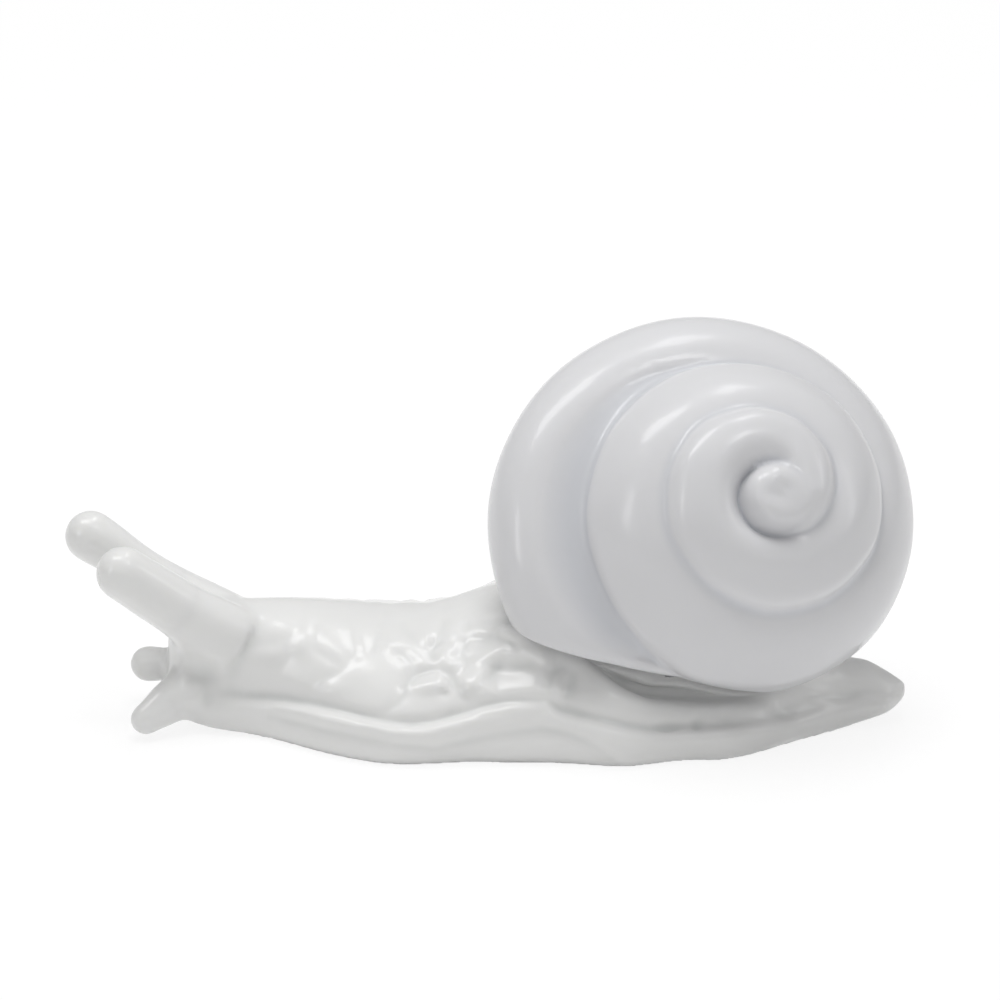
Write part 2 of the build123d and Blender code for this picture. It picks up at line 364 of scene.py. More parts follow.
# The pour hole under the foot, where the slip was tipped out of the mould
hole_spot, hole_radius, hole_depth = (23.0, -4.0), 5.0, 6.0
hole_overrun, hole_points = 2.0, 64
circle = np.linspace(0, math.tau, hole_points, endpoint=False)
ring = np.column_stack([
    hole_spot[0] + hole_radius * np.cos(circle),
    hole_spot[1] + hole_radius * np.sin(circle),
    np.zeros(hole_points),
])
hole_rings = np.concatenate([ring - (0, 0, hole_overrun), ring + (0, 0, hole_depth)])
hole = piece_from("pour_hole", hole_rings, tube_faces(2, hole_points))
opened = body.modifiers.new("pour_hole", "BOOLEAN")
opened.operation = "DIFFERENCE"
opened.object = hole
apply_modifiers(body)
bpy.data.objects.remove(hole)

# The horns are pressed on: one skin over body and horns, smoothed round each root
skin_grid = 0.46
skin_rounds, root_rounds, lip_rounds = 3, 45, 60
lip_core, lip_fade = 2.5, 3.0
with bpy.context.temp_override(active_object=body, selected_editable_objects=parts):
    bpy.ops.object.join()
skin = body.modifiers.new("skin", "REMESH")
skin.mode = "VOXEL"
skin.voxel_size = skin_grid * MM
apply_modifiers(body)

points, ends = points_of(body.data), edges_of(body.data)
points = sponged(points, ends, np.ones(len(points)), skin_rounds)
root_weight = np.zeros(len(points))
for horn in horns.values():
    root, end = np.array(horn["root"]), np.array(horn["end"])
    along = (end - root) / np.linalg.norm(end - root)
    joint = root + along * (horn["cut"] * joint_share)
    from_joint = np.linalg.norm(points - joint, axis=1)
    root_weight = np.maximum(root_weight, bump(from_joint, horn["radii"][0] * root_reach))
points = sponged(points, ends, np.clip(root_weight * root_strength, 0, 1), root_rounds)

# The lip is worked into the mantle until only its edge along the shell still shows
from_lip = np.min([np.linalg.norm(points - spot, axis=1) for spot in lip_spots], axis=0)
points = sponged(points, ends, bump(np.maximum(from_lip - lip_core, 0), lip_fade), lip_rounds)

# Drawing of the side, seen as the camera sees it: x along the snail, height on the drawing
plate_lines = [
    [(-43.3, 11.9), (-45.1, 9.6), (-46.7, 8.2), (-48.8, 7.1), (-50.8, 5.5), (-52.4, 4.1)],
    [(-39.4, 12.7), (-37.1, 11.9), (-35.1, 11.1), (-33.5, 9.8), (-33.0, 8.0)],
    [
        (-35.3, 16.6), (-33.9, 14.8), (-32.4, 13.2), (-30.7, 11.9),
        (-29.6, 13.4), (-28.5, 15.5), (-27.8, 16.9),
    ],
    [(-23.9, 16.6), (-23.9, 14.4), (-25.0, 12.3), (-26.4, 10.5), (-28.3, 9.1), (-30.7, 8.7)],
    [(-30.7, 8.7), (-32.8, 8.0), (-34.2, 6.2), (-34.9, 4.1), (-36.4, 2.3), (-38.3, 0.9)],
    [(-28.3, 9.1), (-27.1, 7.3), (-25.8, 5.5), (-24.6, 4.1), (-23.5, 2.7)],
    [(-12.5, 10.2), (-15.2, 10.7), (-17.3, 10.7), (-18.5, 9.4), (-19.8, 7.3), (-21.2, 4.8), (-22.5, 3.0)],
    [(-24.4, 15.9), (-22.6, 14.8), (-19.1, 14.6), (-16.4, 13.7), (-15.0, 11.9)],
    [(-64.2, 12.8), (-59.7, 13.4), (-56.5, 13.7), (-54.2, 15.5), (-53.5, 17.6)],
    [(-56.5, 13.7), (-55.6, 11.1), (-57.0, 8.7)],
    [(-50.3, 18.7), (-51.3, 15.2), (-50.6, 11.9), (-46.0, 8.9)],
    [(-45.5, 19.1), (-44.6, 15.5), (-43.3, 11.1)],
    [(-38.3, 18.7), (-39.6, 15.5), (-40.6, 12.3), (-39.4, 12.7)],
    [(-9.1, 3.4), (-9.1, 5.5), (-8.4, 7.7), (-6.8, 9.1)],
    [(-7.0, 2.3), (-5.7, 4.1), (-4.8, 6.2), (-4.6, 8.0)],
    [(-30.7, 11.9), (-29.2, 10.2), (-28.3, 9.1)],
]
skirt_groove = [
    (-68.6, 4.5), (-63.3, 4.1), (-56.1, 3.4), (-50.8, 2.5), (-46.9, 1.6), (-41.9, 0.4), (-38.3, -0.4),
    (-33.7, -0.9), (-29.4, -0.4), (-24.1, 1.1), (-20.5, 2.3), (-15.9, 3.0), (-9.3, 3.0), (-6.8, 1.6),
    (-3.6, 0.7), (0.0, -0.2), (4.5, -1.2), (8.9, -1.8), (13.5, -1.6), (24.0, -0.9), (36.0, 1.2), (46.0, 4.0),
]
under_bead = [
    (-58.8, 0.2), (-53.5, -1.2), (-48.1, -2.7), (-41.9, -3.9), (-33.7, -5.3), (-29.1, -5.9), (-22.3, -4.3),
    (-16.9, -3.2), (-9.8, -2.3), (-6.1, -2.9), (-3.0, -4.3), (0.0, -6.4), (2.1, -8.0),
]
bead_crease = [(-23.2, 0.0), (-19.6, 0.2), (-12.5, 0.3), (-9.6, 0.9)]
# Dents: x, height on the drawing, reach along each, depth. Below 0 it is a low bump.
dents = [
    (-71.0, 7.0, 4.0, 2.4, 1.5), (-70.0, 3.6, 1.6, 2.4, 0.6), (-65.5, 8.6, 2.0, 4.6, 0.6),
    (12.1, -1.6, 2.0, 0.9, 0.9), (17.3, -0.5, 0.8, 1.8, 0.8), (22.6, 0.4, 1.5, 1.3, 0.7),
    (33.0, 0.9, 1.8, 1.0, 0.9), (-27.6, 4.3, 0.8, 0.8, 0.35), (16.0, 0.7, 1.7, 1.2, -0.7),
    (28.5, 1.0, 2.2, 1.1, -0.6), (32.0, -3.6, 2.4, 1.4, -0.6), (40.0, 2.6, 2.4, 0.7, -0.4),
    (38.0, 4.6, 2.6, 0.7, -0.35), (-74.6, 9.6, 0.9, 4.5, -0.4),
]
# Pillows of skin, and the knuckles of the bead: x, height, reach along each, rise
pillows = [
    (-7.0, 4.0, 1.6, 1.8, 0.6), (-37.8, 12.4, 2.0, 1.4, 0.45), (-31.8, 14.0, 2.2, 1.7, 0.5),
    (-52.6, 14.2, 1.5, 2.4, 0.5), (-54.6, 12.2, 1.6, 1.1, 0.3), (-59.0, 11.2, 2.0, 1.0, 0.3),
    (-47.8, 4.9, 2.4, 1.4, 0.4), (-8.6, -0.9, 1.4, 1.0, 0.25), (-55.1, 0.9, 2.0, 1.0, 0.25),
    (-49.7, -0.9, 1.8, 1.0, 0.25), (-41.9, -1.9, 1.6, 1.0, 0.25), (-36.2, -3.7, 2.0, 1.1, 0.35),
    (-31.2, -3.4, 1.8, 1.0, 0.25), (-27.6, -1.9, 1.5, 1.0, 0.25), (-24.8, -2.7, 1.3, 1.0, 0.2),
]
# Flat plates, each tipped up and towards the head: x, height, reach along each
plates = [
    (-16.9, 16.0, 6.2, 2.2), (-17.6, 12.3, 6.6, 2.4), (-13.7, 6.2, 6.2, 3.8), (-22.8, 7.8, 3.4, 3.8),
    (-30.5, 6.6, 3.2, 2.0), (-27.5, 11.6, 2.6, 2.6),
]
plate_rise, plate_tip_x, plate_tip_height = 0.3, 0.17, 0.36
# Edge of the mantle below the shell, and how deep it is undercut along the snail
mantle_edge = [
    (-10.7, 13.8), (-7.1, 12.4), (-2.3, 9.8), (3.6, 5.8),
    (8.9, 3.2), (18.7, 2.1), (26.7, 2.1), (34.8, 2.7),
]
undercut = [
    (-7.0, 0.0), (-4.0, 1.2), (0.0, 3.2), (5.0, 5.0), (11.0, 4.6),
    (18.0, 3.4), (23.0, 2.4), (28.0, 1.5), (34.0, 0.6), (38.0, 0.0),
]
undercut_ramp, rolled_core, rolled_reach, rolled_rounds = 2.4, 0.8, 1.4, 30
# Depth or rise, and reach, of the groove, the bead below it, its valley and crease, and
# the soft seams between the plates
groove_depth, groove_reach = 0.80, 1.0
bead_rise, bead_below, bead_reach = 0.60, 2.4, 1.5
valley_depth, valley_reach = 0.60, 1.2
crease_depth, crease_reach = 0.25, 0.45
seam_depth, seam_reach, seam_shade_depth, seam_shade_reach = 0.45, 1.0, 0.20, 2.2
# Where the relief fades: at the sole, the nose and tail, the groove, the ridge of the
# back and the far side, and how deep and how far round the recess goes below the shell
sole_normal, sole_normal_fade, sole_clear, sole_fade = 0.97, 0.1, 0.5, 0.8
nose_clear, nose_fade, tail_clear, tail_fade = 8.0, 12.0, 4.0, 10.0
low_band, low_band_fade, groove_clear = 1.0, 2.5, 1.5
ridge_clear, ridge_fade, ridge_share = 4.0, 8.0, 0.2
far_start, far_fade = 2.0, 4.0
recess_depth, recess_depth_fade, recess_y, recess_y_fade = 11.0, 3.0, -12.0, 4.0
seam_stations = (-68, -58, -48, -40, -28, -8)
seam_strengths = (0.1, 0.3, 0.45, 0.6, 1.0, 1.0)
groove_fade_stations = (-66, -54, -44, 8, 20, 44)
groove_fade_shares = (0.3, 0.65, 1.0, 1.0, 0.6, 0.4)
# The pattern of the far side lies a little further on, so the sides aren't quite alike
far_shift = 2.4
skin_end_rounds, skin_end_weight, sole_zone = 4, 0.8, 0.2


def distance_to_lines(spots, lines):
    """Distance of each spot on a drawing to the nearest of some bent lines."""
    nearest = np.full(len(spots), 1e3)
    for line in lines:
        for start, end in zip(line, line[1:]):
            start, run = np.array(start), np.array(end) - np.array(start)
            share = np.clip((spots - start) @ run / (run @ run), 0, 1)
            away = spots - start - share[:, None] * run
            nearest = np.minimum(nearest, np.hypot(away[:, 0], away[:, 1]))
    return nearest


place_points(body.data, points)
normals = normals_of(body.data)
x, y, z = points.T
drawing = np.stack([x, z * math.cos(VIEW_RISE) + y * math.sin(VIEW_RISE)], 1)
mirrored = np.stack([x + far_shift, z * math.cos(VIEW_RISE) - y * math.sin(VIEW_RISE)], 1)
far = np.clip((y - far_start) / far_fade, 0, 1)

groove_z = eased(x, groove_stations, groove_heights)
on_side = np.clip((normals[:, 2] + sole_normal) / sole_normal_fade, 0, 1)
on_side *= np.clip((z - sole_clear) / sole_fade, 0, 1)
ends_fade = np.clip((x - nose_x - nose_clear) / nose_fade, 0, 1)
ends_fade *= np.clip((tail_x - tail_clear - x) / tail_fade, 0, 1)
low_side = bump(np.maximum(z - groove_z - low_band, 0), low_band_fade) * on_side * ends_fade
above_groove = np.clip((z - groove_z) / groove_clear, 0, 1)
from_ridge = np.clip((np.abs(y) - ridge_clear) / ridge_fade, 0, 1)
strength = np.interp(x, seam_stations, seam_strengths)
strength = strength * above_groove * (ridge_share + (1 - ridge_share) * from_ridge)
below_shell = np.clip((recess_depth - inside_shell(points)) / recess_depth_fade, 0, 1)
below_shell *= np.clip((recess_y - y) / recess_y_fade, 0, 1)
relief = np.zeros(len(points))
for flat, part_of in ((drawing, 1 - far), (mirrored, far)):
    # Groove above the skirt, the rounded bead below it, and the valley under the bead
    groove_level = np.interp(flat[:, 0], *zip(*skirt_groove))
    groove_fade = np.interp(flat[:, 0], groove_fade_stations, groove_fade_shares)
    from_groove = distance_to_lines(flat, [skirt_groove])
    side_relief = -groove_depth * groove_fade * bump(from_groove, groove_reach)
    side_relief += bead_rise * bump(groove_level - flat[:, 1] - bead_below, bead_reach)
    side_relief -= valley_depth * bump(distance_to_lines(flat, [under_bead]), valley_reach)
    side_relief -= crease_depth * bump(distance_to_lines(flat, [bead_crease]), crease_reach)
    side_relief *= low_side
    # Skin plates: low pillows and tipped flats between soft seams
    away = distance_to_lines(flat, plate_lines)
    seams = seam_depth * bump(away, seam_reach) + seam_shade_depth * bump(away, seam_shade_reach)
    side_relief -= seams * strength
    for dent_x, dent_height, reach_x, reach_height, depth in dents:
        along, up = (flat[:, 0] - dent_x) / reach_x, (flat[:, 1] - dent_height) / reach_height
        side_relief -= depth * np.exp(-along ** 2 - up ** 2) * on_side
    for pillow_x, pillow_height, reach_x, reach_height, rise in pillows:
        along, up = (flat[:, 0] - pillow_x) / reach_x, (flat[:, 1] - pillow_height) / reach_height
        side_relief += rise * np.exp(-along ** 2 - up ** 2) * on_side * from_ridge
    for plate_x, plate_height, reach_x, reach_height in plates:
        along, up = flat[:, 0] - plate_x, flat[:, 1] - plate_height
        inside_plate = np.exp(-(along / reach_x) ** 4 - (up / reach_height) ** 4)
        tipped = plate_rise + plate_tip_x * along - plate_tip_height * up
        side_relief += tipped * inside_plate * on_side * from_ridge
    # The mantle is undercut below the shell, so its edge stands free
    over_edge = flat[:, 1] - np.interp(flat[:, 0], *zip(*mantle_edge))
    depth = np.interp(flat[:, 0], *zip(*undercut))
    in_recess = np.clip(over_edge / undercut_ramp, 0, 1)
    in_recess = in_recess ** 2 * (3 - 2 * in_recess)
    side_relief -= depth * in_recess * below_shell * above_groove * (1 - far)
    relief += side_relief * part_of
points = points + normals * relief[:, None]
points = sponged(points, ends, skin_end_weight * (z > 0.5), skin_end_rounds)
# The mantle's free edge below the shell is rolled over with a wet finger
from_edge = distance_to_lines(drawing, [mantle_edge])
near_edge = bump(np.maximum(from_edge - rolled_core, 0), rolled_reach) * (1 - far)
points = sponged(points, ends, near_edge, rolled_rounds)
points[points[:, 2] < sole_zone, 2] = 0
place_points(body.data, points)


cut_margin = 2.2
corner_angle = math.radians(50)


def take_off(piece, name, spot, direction, reach):
    """Cuts the horn beyond a plane off the piece, closes both, and returns the horn."""
    cut = bmesh.new()
    cut.from_mesh(piece.data)
    spot, direction = Vector(spot) * MM, Vector(direction)
    near = [f for f in cut.faces if (f.calc_center_median() - spot).length < reach * MM]
    edges = {e for f in near for e in f.edges}
    verts = {v for f in near for v in f.verts}
    around_root = near + list(edges) + list(verts)
    made = bmesh.ops.bisect_plane(cut, geom=around_root, plane_co=spot, plane_no=direction)
    ring = [e for e in made["geom_cut"] if isinstance(e, bmesh.types.BMEdge)]
    bmesh.ops.split_edges(cut, edges=ring)
    start = max(
        (f for f in cut.faces if (f.calc_center_median() - spot).length < reach * MM),
        key=lambda f: (f.calc_center_median() - spot).dot(direction),
    )
    found, todo = {start}, [start]
    while todo:
        for edge in todo.pop().edges:
            for face in edge.link_faces:
                if face not in found:
                    found.add(face)
                    todo.append(face)
    if len(found) > len(cut.faces) / 3:
        raise RuntimeError(f"the cut for {name} doesn't go all round its root")
    order = {v: i for i, v in enumerate({v for f in found for v in f.verts})}
    points = [v.co / MM for v in order]
    horn = piece_from(name, points, [[order[v] for v in f.verts] for f in found])
    bmesh.ops.delete(cut, geom=list(found), context="FACES")
    cut.to_mesh(piece.data)
    cut.free()
    for each in (piece, horn):
        close_holes(each)
    return horn


def close_holes(piece):
    """Closes each open ring with flat triangles, and keeps the ring's corner sharp."""
    shape = bmesh.new()
    shape.from_mesh(piece.data)
    bmesh.ops.remove_doubles(shape, verts=shape.verts, dist=1e-7)
    open_edges = [e for e in shape.edges if e.is_boundary]
    made = bmesh.ops.holes_fill(shape, edges=open_edges, sides=0)["faces"]
    bmesh.ops.triangulate(shape, faces=made)
    bmesh.ops.recalc_face_normals(shape, faces=shape.faces)
    for face in shape.faces:
        face.smooth = True
    for edge in shape.edges:
        edge.smooth = edge.calc_face_angle(0) < corner_angle
    shape.to_mesh(piece.data)
    shape.free()


horn_pieces = []
for name, horn in horns.items():
    root, end = np.array(horn["root"]), np.array(horn["end"])
    along = (end - root) / np.linalg.norm(end - root)
    spot = root + along * horn["cut"]
    horn_piece = take_off(body, name + "_glazed", spot, along, horn["radii"][0] + cut_margin)
    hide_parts(name)
    horn_pieces.append(horn_piece)
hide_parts("body")


def porcelain(name, colour, hollow_shade_colour, drift_size):
    """White glazed porcelain: its hollows are painted darker as shade, with a slight tint of thicker glaze,
    and the glaze ripples very slightly.
    """
    glaze = bpy.data.materials.new(name)
    glaze.use_nodes = True
    nodes, links = glaze.node_tree.nodes, glaze.node_tree.links
    shader = nodes["Principled BSDF"]
    shader.inputs["IOR"].default_value = 1.5
    shader.inputs["Coat Weight"].default_value = 0.35
    shader.inputs["Coat Roughness"].default_value = 0.10
    shader.inputs["Subsurface Weight"].default_value = 0.15
    shader.inputs["Subsurface Radius"].default_value = (0.002, 0.002, 0.0018)
    shader.inputs["Subsurface Scale"].default_value = 1.0

    place = nodes.new("ShaderNodeTexCoord")
    drift = nodes.new("ShaderNodeTexNoise")
    drift.inputs["Scale"].default_value = 1 / (drift_size * MM)
    drift.inputs["Detail"].default_value = 2
    links.new(place.outputs["Object"], drift.inputs["Vector"])
    hollow_shade = nodes.new("ShaderNodeAttribute")
    hollow_shade.attribute_name = "hollow_shade_and_glaze"

    tone = nodes.new("ShaderNodeMix")
    tone.data_type = "RGBA"
    tone.inputs["A"].default_value = (*colour, 1)
    tone.inputs["B"].default_value = (*[c * 0.96 for c in colour], 1)
    links.new(drift.outputs["Fac"], tone.inputs["Factor"])
    # Hollows get the darker colour: painted shade, with a slight tint of thicker glaze
    depth = nodes.new("ShaderNodeMix")
    depth.data_type = "RGBA"
    depth.inputs["B"].default_value = (*hollow_shade_colour, 1)
    links.new(hollow_shade.outputs["Fac"], depth.inputs["Factor"])
    links.new(tone.outputs["Result"], depth.inputs["A"])
    links.new(depth.outputs["Result"], shader.inputs["Base Color"])

    sheen = nodes.new("ShaderNodeMapRange")
    sheen.inputs["To Min"].default_value = 0.24
    sheen.inputs["To Max"].default_value = 0.36
    links.new(drift.outputs["Fac"], sheen.inputs["Value"])
    links.new(sheen.outputs["Result"], shader.inputs["Roughness"])

    ripple = nodes.new("ShaderNodeTexNoise")
    ripple.inputs["Scale"].default_value = 260
    ripple.inputs["Detail"].default_value = 1
    links.new(place.outputs["Object"], ripple.inputs["Vector"])
    skin_bump = nodes.new("ShaderNodeBump")
    skin_bump.inputs["Strength"].default_value = 0.25
    skin_bump.inputs["Distance"].default_value = 0.0003
    links.new(ripple.outputs["Fac"], skin_bump.inputs["Height"])
    links.new(skin_bump.outputs["Normal"], shader.inputs["Normal"])
    links.new(skin_bump.outputs["Normal"], shader.inputs["Coat Normal"])
    return glaze


full_hollow_shade = 0.25


def mark_hollow_shade(piece, rounds):
    """Marks how far each point lies in a hollow, where shade is painted in, with a slight tint of thicker
    glaze.
    """
    points, ends = points_of(piece.data), edges_of(piece.data)
    smooth = sponged(points, ends, np.ones(len(points)), rounds)
    depth = np.sum((smooth - points) * normals_of(piece.data), axis=1)
    hollow_shade = np.clip(depth / full_hollow_shade, 0, 1)
    attribute = piece.data.attributes.new("hollow_shade_and_glaze", "FLOAT", "POINT")
    attribute.data.foreach_set("value", hollow_shade.astype(np.float32))


# The second colour is painted shade for the hollows, with a slight tint of thicker glaze
body_glaze = porcelain("body_glaze_white", (0.87, 0.87, 0.86), (0.74, 0.75, 0.74), 22)
for piece in [body] + horn_pieces:
    mark_hollow_shade(piece, 12)
    piece.data.materials.clear()
    piece.data.materials.append(body_glaze)
    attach(piece, "root")

# Shell
# Slip-cast spiral of three whorls with a round button at the tip. Each whorl is hollow
# near the line to the one inside it and swells to a soft crest before the next line.
turn_steps, whorl_points, under_points = 360, 44, 70
whorl_steps = whorl_points - 1
base_centre_depth = 39.5
line_reach, hollow_reach, crest_reach = 1.1, 3.4, 2.8
hollow_depth, crest_height, crest_back = 0.60, 0.60, 2.8
usual_whorl = 13.0
first_reach, first_reach_power, first_drop = 8.1, 1.9, 0.694
first_bulge, whorl_bulge, whorl_bulge_gain = 0.24, 0.12, 0.06
crest_stop_angle = math.radians(3.3)
groove_turns = (0, 0.1, 0.3, 0.5, 0.8, 2.3, 2.45)
groove_depths = (0.1, 0.3, 0.5, 0.5, 0.35, 0.3, 0.2)


def along_whorl(away_in, away_out, chord, groove_in, groove_out):
    """Height over a plain arc, from one line of the spiral to the next one."""
    size = min(1, chord / usual_whorl)
    hollow = hollow_depth * size * bump(away_in, hollow_reach * size)
    crest = crest_height * size * bump(away_out - crest_back * size, crest_reach * size)
    inner = -groove_in * bump(away_in, line_reach) - hollow
    return inner, crest - groove_out * bump(away_out, line_reach)


def whorl_arc(start, end, bulge, groove_in, groove_out):
    """Half profile across one whorl, from its inner groove to its outer one."""
    start, end = np.array(start), np.array(end)
    share = np.linspace(0, 1, whorl_points)[:, None]
    run = end - start
    chord = math.hypot(*run) + 1e-9
    outward = np.array([run[1], -run[0]]) / chord
    inner, outer = along_whorl(share * chord, (1 - share) * chord, chord, groove_in, groove_out)
    height = chord * 4 * bulge * share * (1 - share) + inner + outer
    return start + run * share + outward * height


def groove_depth_at(turn):
    """Depth of the groove between whorls, so many turns out from the tip."""
    return float(np.interp(turn, groove_turns, groove_depths))


def shell_chain(share):
    """Half profile of the whole shell: tip, three whorls, rounded underside and base."""
    first_line = (first_reach * share ** first_reach_power, first_drop * share ** 3)
    turn = mouth_turns - 2 + share
    s1, s2 = suture(turn), suture(turn + 1)
    g0 = groove_depth_at(turn - 1) * min(1, max(0, (share - 0.45) / 0.35))
    g1, g2 = groove_depth_at(turn), groove_depth_at(turn + 1)
    seg0 = whorl_arc((0, 0), first_line, first_bulge, 0, g0)
    seg1 = whorl_arc(first_line, s1, whorl_bulge + whorl_bulge_gain * (2 - share), g0, g1)
    seg2 = whorl_arc(s1, s2, whorl_bulge + whorl_bulge_gain * (1 - share), g1, g2)
    rim, level = rim_of(share)
    out, down = rim - s2[0], level - s2[1]
    shoulder = (out ** 2 + down ** 2) / (2 * out)
    whole = math.asin(down / shoulder)
    stop = crest_stop_angle
    turns = np.linspace(whole, stop, whorl_points)
    seg3 = np.stack([rim - shoulder * (1 - np.cos(turns)), level - shoulder * np.sin(turns)], 1)
    along = np.linspace(0, 1, whorl_points)
    outward = np.stack([np.cos(turns), -np.sin(turns)], 1)
    chord = shoulder * (whole - stop)
    inner, outer = along_whorl(along * chord, (1 - along) * chord, chord, g2, groove_depth_at(turn + 2))
    seg3 += outward * (inner + outer * (1 - min(1, share / 0.15)))[:, None]
    turns = np.linspace(stop, 0, 5)[1:]
    last = np.stack([rim - shoulder * (1 - np.cos(turns)), level - shoulder * np.sin(turns)], 1)
    turns = np.linspace(0, math.pi / 2, under_points // 2)[1:]
    rounding = np.stack([
        rim - under_radius * (1 - np.cos(turns)),
        level + under_radius * np.sin(turns),
    ], 1)
    inward = np.linspace(0, 1, under_points - len(last) - len(rounding) + 1)[1:, None]
    easing = np.hstack([inward, inward ** 2 * (3 - 2 * inward)])
    base = rounding[-1] + (np.array([0, base_centre_depth]) - rounding[-1]) * easing
    return np.concatenate([seg0, seg1[1:], seg2[1:], seg3[1:], last, rounding, base])


def turned(chain, share):
    angle = first_turn + math.tau * (mouth_turns + share)
    outward = shell_out * math.cos(angle) + shell_side * math.sin(angle)
    return shell_tip + chain[:, :1] * outward - chain[:, 1:] * shell_axis


whorl_row = 4 * whorl_steps + 1
chain_length = whorl_row + under_points
shell_points = np.concatenate([
    turned(shell_chain(step / turn_steps), step / turn_steps) for step in range(turn_steps)
])
last_row = turned(shell_chain(1.0), 1.0)[3 * whorl_steps + 1:]
tail_start = len(shell_points)
shell_points = np.concatenate([shell_points, last_row])
rows = [list(range(step * chain_length, (step + 1) * chain_length)) for step in range(turn_steps)]
closing = rows[0][whorl_steps:whorl_row] + list(range(tail_start, len(shell_points)))
rows.append(closing)
shell_faces = [
    (one[i], one[i + 1], two[i + 1], two[i])
    for one, two in zip(rows, rows[1:]) for i in range(chain_length - 1)
]
# The mouth's step, between where the last whorl starts and where it ends
inner_side, outer_side = rows[0][whorl_row - 1:], closing[3 * whorl_steps:]
i = j = 0
while i < len(inner_side) - 1 or j < len(outer_side) - 1:
    inner_lags = i < len(inner_side) - 1 and i / len(inner_side) < j / len(outer_side)
    if j == len(outer_side) - 1 or inner_lags:
        shell_faces.append((inner_side[i], inner_side[i + 1], outer_side[j]))
        i += 1
    else:
        shell_faces.append((inner_side[i], outer_side[j + 1], outer_side[j]))
        j += 1

# The button: a ball with a soft dimple, that leans down a little. It runs into the first
# whorl on its right and stands free of it, behind a wide hollow and a deep ditch, on its left.
button_spot, button_radius = np.array([0.8, -2.4]), 6.4
button_depth, button_lean = 4.0, 0.2
dimple_depth, dimple_ring, dimple_reach = 0.8, 0.6, 2.4
moat_depth, moat_ring, moat_reach = 0.9, 7.6, 2.8
ditch_depth, ditch_ring, ditch_reach = 3.4, 6.3, 1.0
join_free, join_gain = 0.6, 1.6
button_zone = -6.0
free_angles = (-180, -140, -100, -60, -30, 0, 60, 100, 140, 180)
free_shares = (1.0, 0.95, 0.75, 0.45, 0.15, 0.0, 0.0, 0.55, 0.9, 1.0)
local = shell_points - shell_tip
across = np.stack([local @ shell_out, local @ shell_side], 1) - button_spot
height = local @ shell_axis
from_button = np.hypot(across[:, 0], across[:, 1])
free = np.interp(np.degrees(np.arctan2(across[:, 1], across[:, 0])), free_angles, free_shares)
ball = -button_depth + np.sqrt(np.maximum(button_radius ** 2 - from_button ** 2, 0))
ball += button_lean * across[:, 1] - dimple_depth * bump(from_button - dimple_ring, dimple_reach)
ball = np.where(from_button < button_radius, ball, -20)
moat = moat_depth * bump(from_button - moat_ring, moat_reach)
ditch = ditch_depth * bump(from_button - ditch_ring, ditch_reach)
ground = height - free * (moat + ditch)
join = join_free + join_gain * (1 - free)
mix = np.clip((ball - ground) / join, -1, 1) * 0.5 + 0.5
lifted = ground * (1 - mix) + ball * mix + join * 0.5 * mix * (1 - mix)
tip_zone = height > button_zone
shell_points = shell_points + np.where(tip_zone, lifted - height, 0)[:, None] * shell_axis

# Uneven by a few hundredths of a millimetre, as a hand-finished casting is
local = shell_points - shell_tip
turn = np.arctan2(local @ shell_side, local @ shell_out)
radius = np.hypot(local @ shell_side, local @ shell_out)
outward = local / np.maximum(np.linalg.norm(local, axis=1), 1)[:, None]
uneven = 0.10 * np.sin(5 * turn + radius / 6) + 0.07 * np.sin(11 * turn - radius / 3.5 + 1)
shell_points = shell_points + outward * (uneven * np.clip(radius / 12 - 0.6, 0, 1))[:, None]

shell = piece_from("snail_shell", shell_points, shell_faces)
shape = bmesh.new()
shape.from_mesh(shell.data)
bmesh.ops.remove_doubles(shape, verts=shape.verts, dist=0.01 * MM)
bmesh.ops.recalc_face_normals(shape, faces=shape.faces)


def cut_level(spot, upward, clear):
    whole = list(shape.verts) + list(shape.edges) + list(shape.faces)
    bmesh.ops.bisect_plane(
        shape, geom=whole, plane_co=Vector(spot) * MM, plane_no=upward, clear_inner=clear,
    )


def cap_cut():
    open_edges = [e for e in shape.edges if e.is_boundary]
    cap = bmesh.ops.holes_fill(shape, edges=open_edges, sides=0)["faces"]
    bmesh.ops.triangulate(shape, faces=cap)


cut_level((0, 0, seat_level), Vector((0, 0, 1)), True)
cap_cut()
# The lower edge of the shell is rounded under, most where it overhangs the mantle
rounding_x = (-20, -13, -6, 2, 12, 25, 40)
rounding_radii = (0.5, 0.8, 2.4, 3.4, 2.2, 1.4, 0.8)
shell_rounds = 12
upward = Vector(mouth_normal)
for step in (3.5, 2.8, 2.2, 1.6, 1.1, 0.7, 0.4, 0.15):
    cut_level(mouth_spot + mouth_normal * step, upward, False)
cut_level(mouth_spot, upward, True)
shape.normal_update()
moves = []
for point in shape.verts:
    above = (point.co / MM - Vector(mouth_spot)).dot(upward)
    rounding = float(np.interp(point.co.x / MM, rounding_x, rounding_radii))
    level = point.normal - upward * point.normal.dot(upward)
    if above < rounding and level.length > 0.3:
        inward = rounding - math.sqrt(rounding ** 2 - (rounding - max(above, 0)) ** 2)
        moves.append((point, level.normalized() * (-inward * min(1, (level.length - 0.3) / 0.2) * MM)))
for point, move in moves:
    point.co += move
cap_cut()
shape.to_mesh(shell.data)
shape.free()
points, ends = points_of(shell.data), edges_of(shell.data)
above_seat = np.clip((points[:, 2] - seat_height(points) - 0.5) / 1.0, 0, 1)
place_points(shell.data, sponged(points, ends, above_seat, shell_rounds))
close_holes(shell)

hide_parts("shell")
# The second colour, darker and bluer, is painted shade for the hollows, with a slight tint of thicker glaze
shell_glaze = porcelain("shell_glaze_white", (0.76, 0.76, 0.775), (0.65, 0.66, 0.69), 30)
mark_hollow_shade(shell, 16)
shell.data.materials.clear()
shell.data.materials.append(shell_glaze)
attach(shell, "root")

# Table and light
# A pale table that runs out of view, and one wide soft box overhead that lights the
# snail. Five smaller boxes are seen only in the glaze, as its highlights in the photo.
table_size = 6000.0


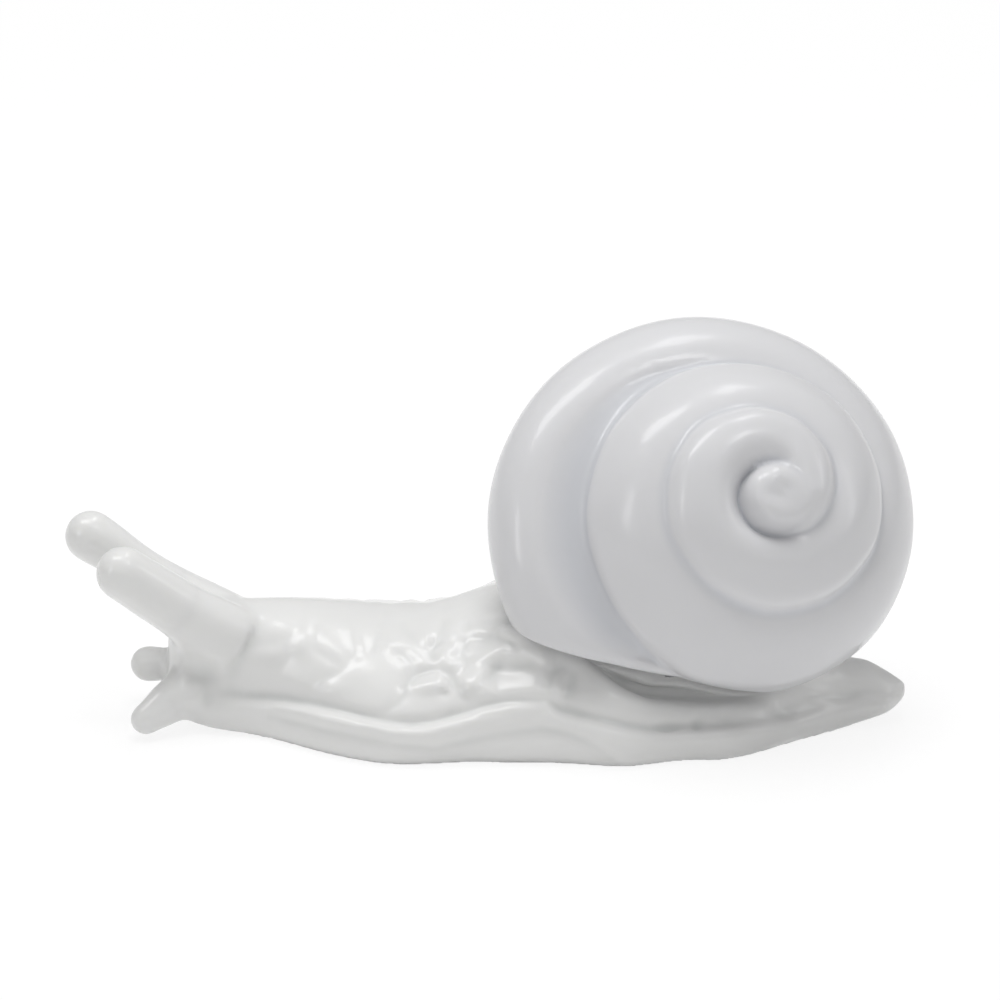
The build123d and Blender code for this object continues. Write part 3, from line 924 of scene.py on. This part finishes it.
def table_paint():
    """Pale table: it shows white to the camera and keeps the snail's soft shadow."""
    paint = bpy.data.materials.new("pale_table")
    paint.use_nodes = True
    nodes, links = paint.node_tree.nodes, paint.node_tree.links
    nodes.clear()
    out = nodes.new("ShaderNodeOutputMaterial")
    path = nodes.new("ShaderNodeLightPath")
    seen = nodes.new("ShaderNodeMath")
    seen.operation = "MAXIMUM"
    links.new(path.outputs["Is Camera Ray"], seen.inputs[0])
    links.new(path.outputs["Is Glossy Ray"], seen.inputs[1])
    plain = nodes.new("ShaderNodeBsdfDiffuse")
    plain.inputs["Color"].default_value = (0.94, 0.94, 0.94, 1)
    dim = nodes.new("ShaderNodeBsdfDiffuse")
    dim.inputs["Color"].default_value = (0.18, 0.18, 0.18, 1)
    glow = nodes.new("ShaderNodeEmission")
    glow.inputs["Strength"].default_value = 0.85
    shown = nodes.new("ShaderNodeAddShader")
    links.new(dim.outputs[0], shown.inputs[0])
    links.new(glow.outputs[0], shown.inputs[1])
    mix = nodes.new("ShaderNodeMixShader")
    links.new(seen.outputs[0], mix.inputs[0])
    links.new(plain.outputs[0], mix.inputs[1])
    links.new(shown.outputs[0], mix.inputs[2])
    links.new(mix.outputs[0], out.inputs["Surface"])
    return paint


half = table_size / 2
corners = [(-half, -half, 0), (half, -half, 0), (half, half, 0), (-half, half, 0)]
table = piece_from("table", corners, [(0, 1, 2, 3)])
table.data.materials.append(table_paint())


def soft_box(name, spot, aim, wide, high, power):
    lamp = bpy.data.lights.new(name, "AREA")
    lamp.shape = "RECTANGLE"
    lamp.size, lamp.size_y = wide * MM, high * MM
    lamp.energy = power
    holder = bpy.data.objects.new(name, lamp)
    bpy.context.scene.collection.objects.link(holder)
    holder.location = Vector(spot) * MM
    holder.rotation_euler = (Vector(aim) - Vector(spot)).to_track_quat("-Z", "Y").to_euler()
    return holder


aim = (0, 0, 30)
soft_box("box_overhead", (-40, 20, 700), (-40, 20, 0), 340, 640, 2.95).visible_glossy = False
for box in (
    soft_box("box_high_left", (-300, 60, 620), aim, 160, 360, 0.80),
    soft_box("box_high_back", (60, 200, 660), aim, 130, 220, 0.28),
    soft_box("box_high_front", (178, -263, 624), aim, 90, 140, 0.24),
    soft_box("box_left", (-681, -318, 304), aim, 150, 320, 0.42),
    soft_box("box_right", (700, -100, 400), aim, 120, 420, 0.30),
):
    box.visible_diffuse = False

world = bpy.data.worlds.new("studio")
bpy.context.scene.world = world
world.use_nodes = True
sky = world.node_tree.nodes["Background"]
sky.inputs["Color"].default_value = (1, 1, 1, 1)
sky.inputs["Strength"].default_value = 0.445

# The camera is square to the snail's left side, and looks down by the photo's angle
camera = bpy.data.cameras.new("camera")
camera.type = "ORTHO"
camera.ortho_scale = 178.25 * MM
camera.clip_end = 10
holder = bpy.data.objects.new("camera", camera)
bpy.context.scene.collection.objects.link(holder)
bpy.context.scene.camera = holder
aim_x, aim_up, camera_away = -17.83, 38.68, 900
aim_spot = np.array([aim_x, 0, 0]) + drawing_up * aim_up
holder.location = Vector((aim_spot + toward_camera * camera_away) * MM)
holder.rotation_euler = (math.pi / 2 - VIEW_RISE, 0, 0)
bpy.context.scene.view_settings.view_transform = "Standard"
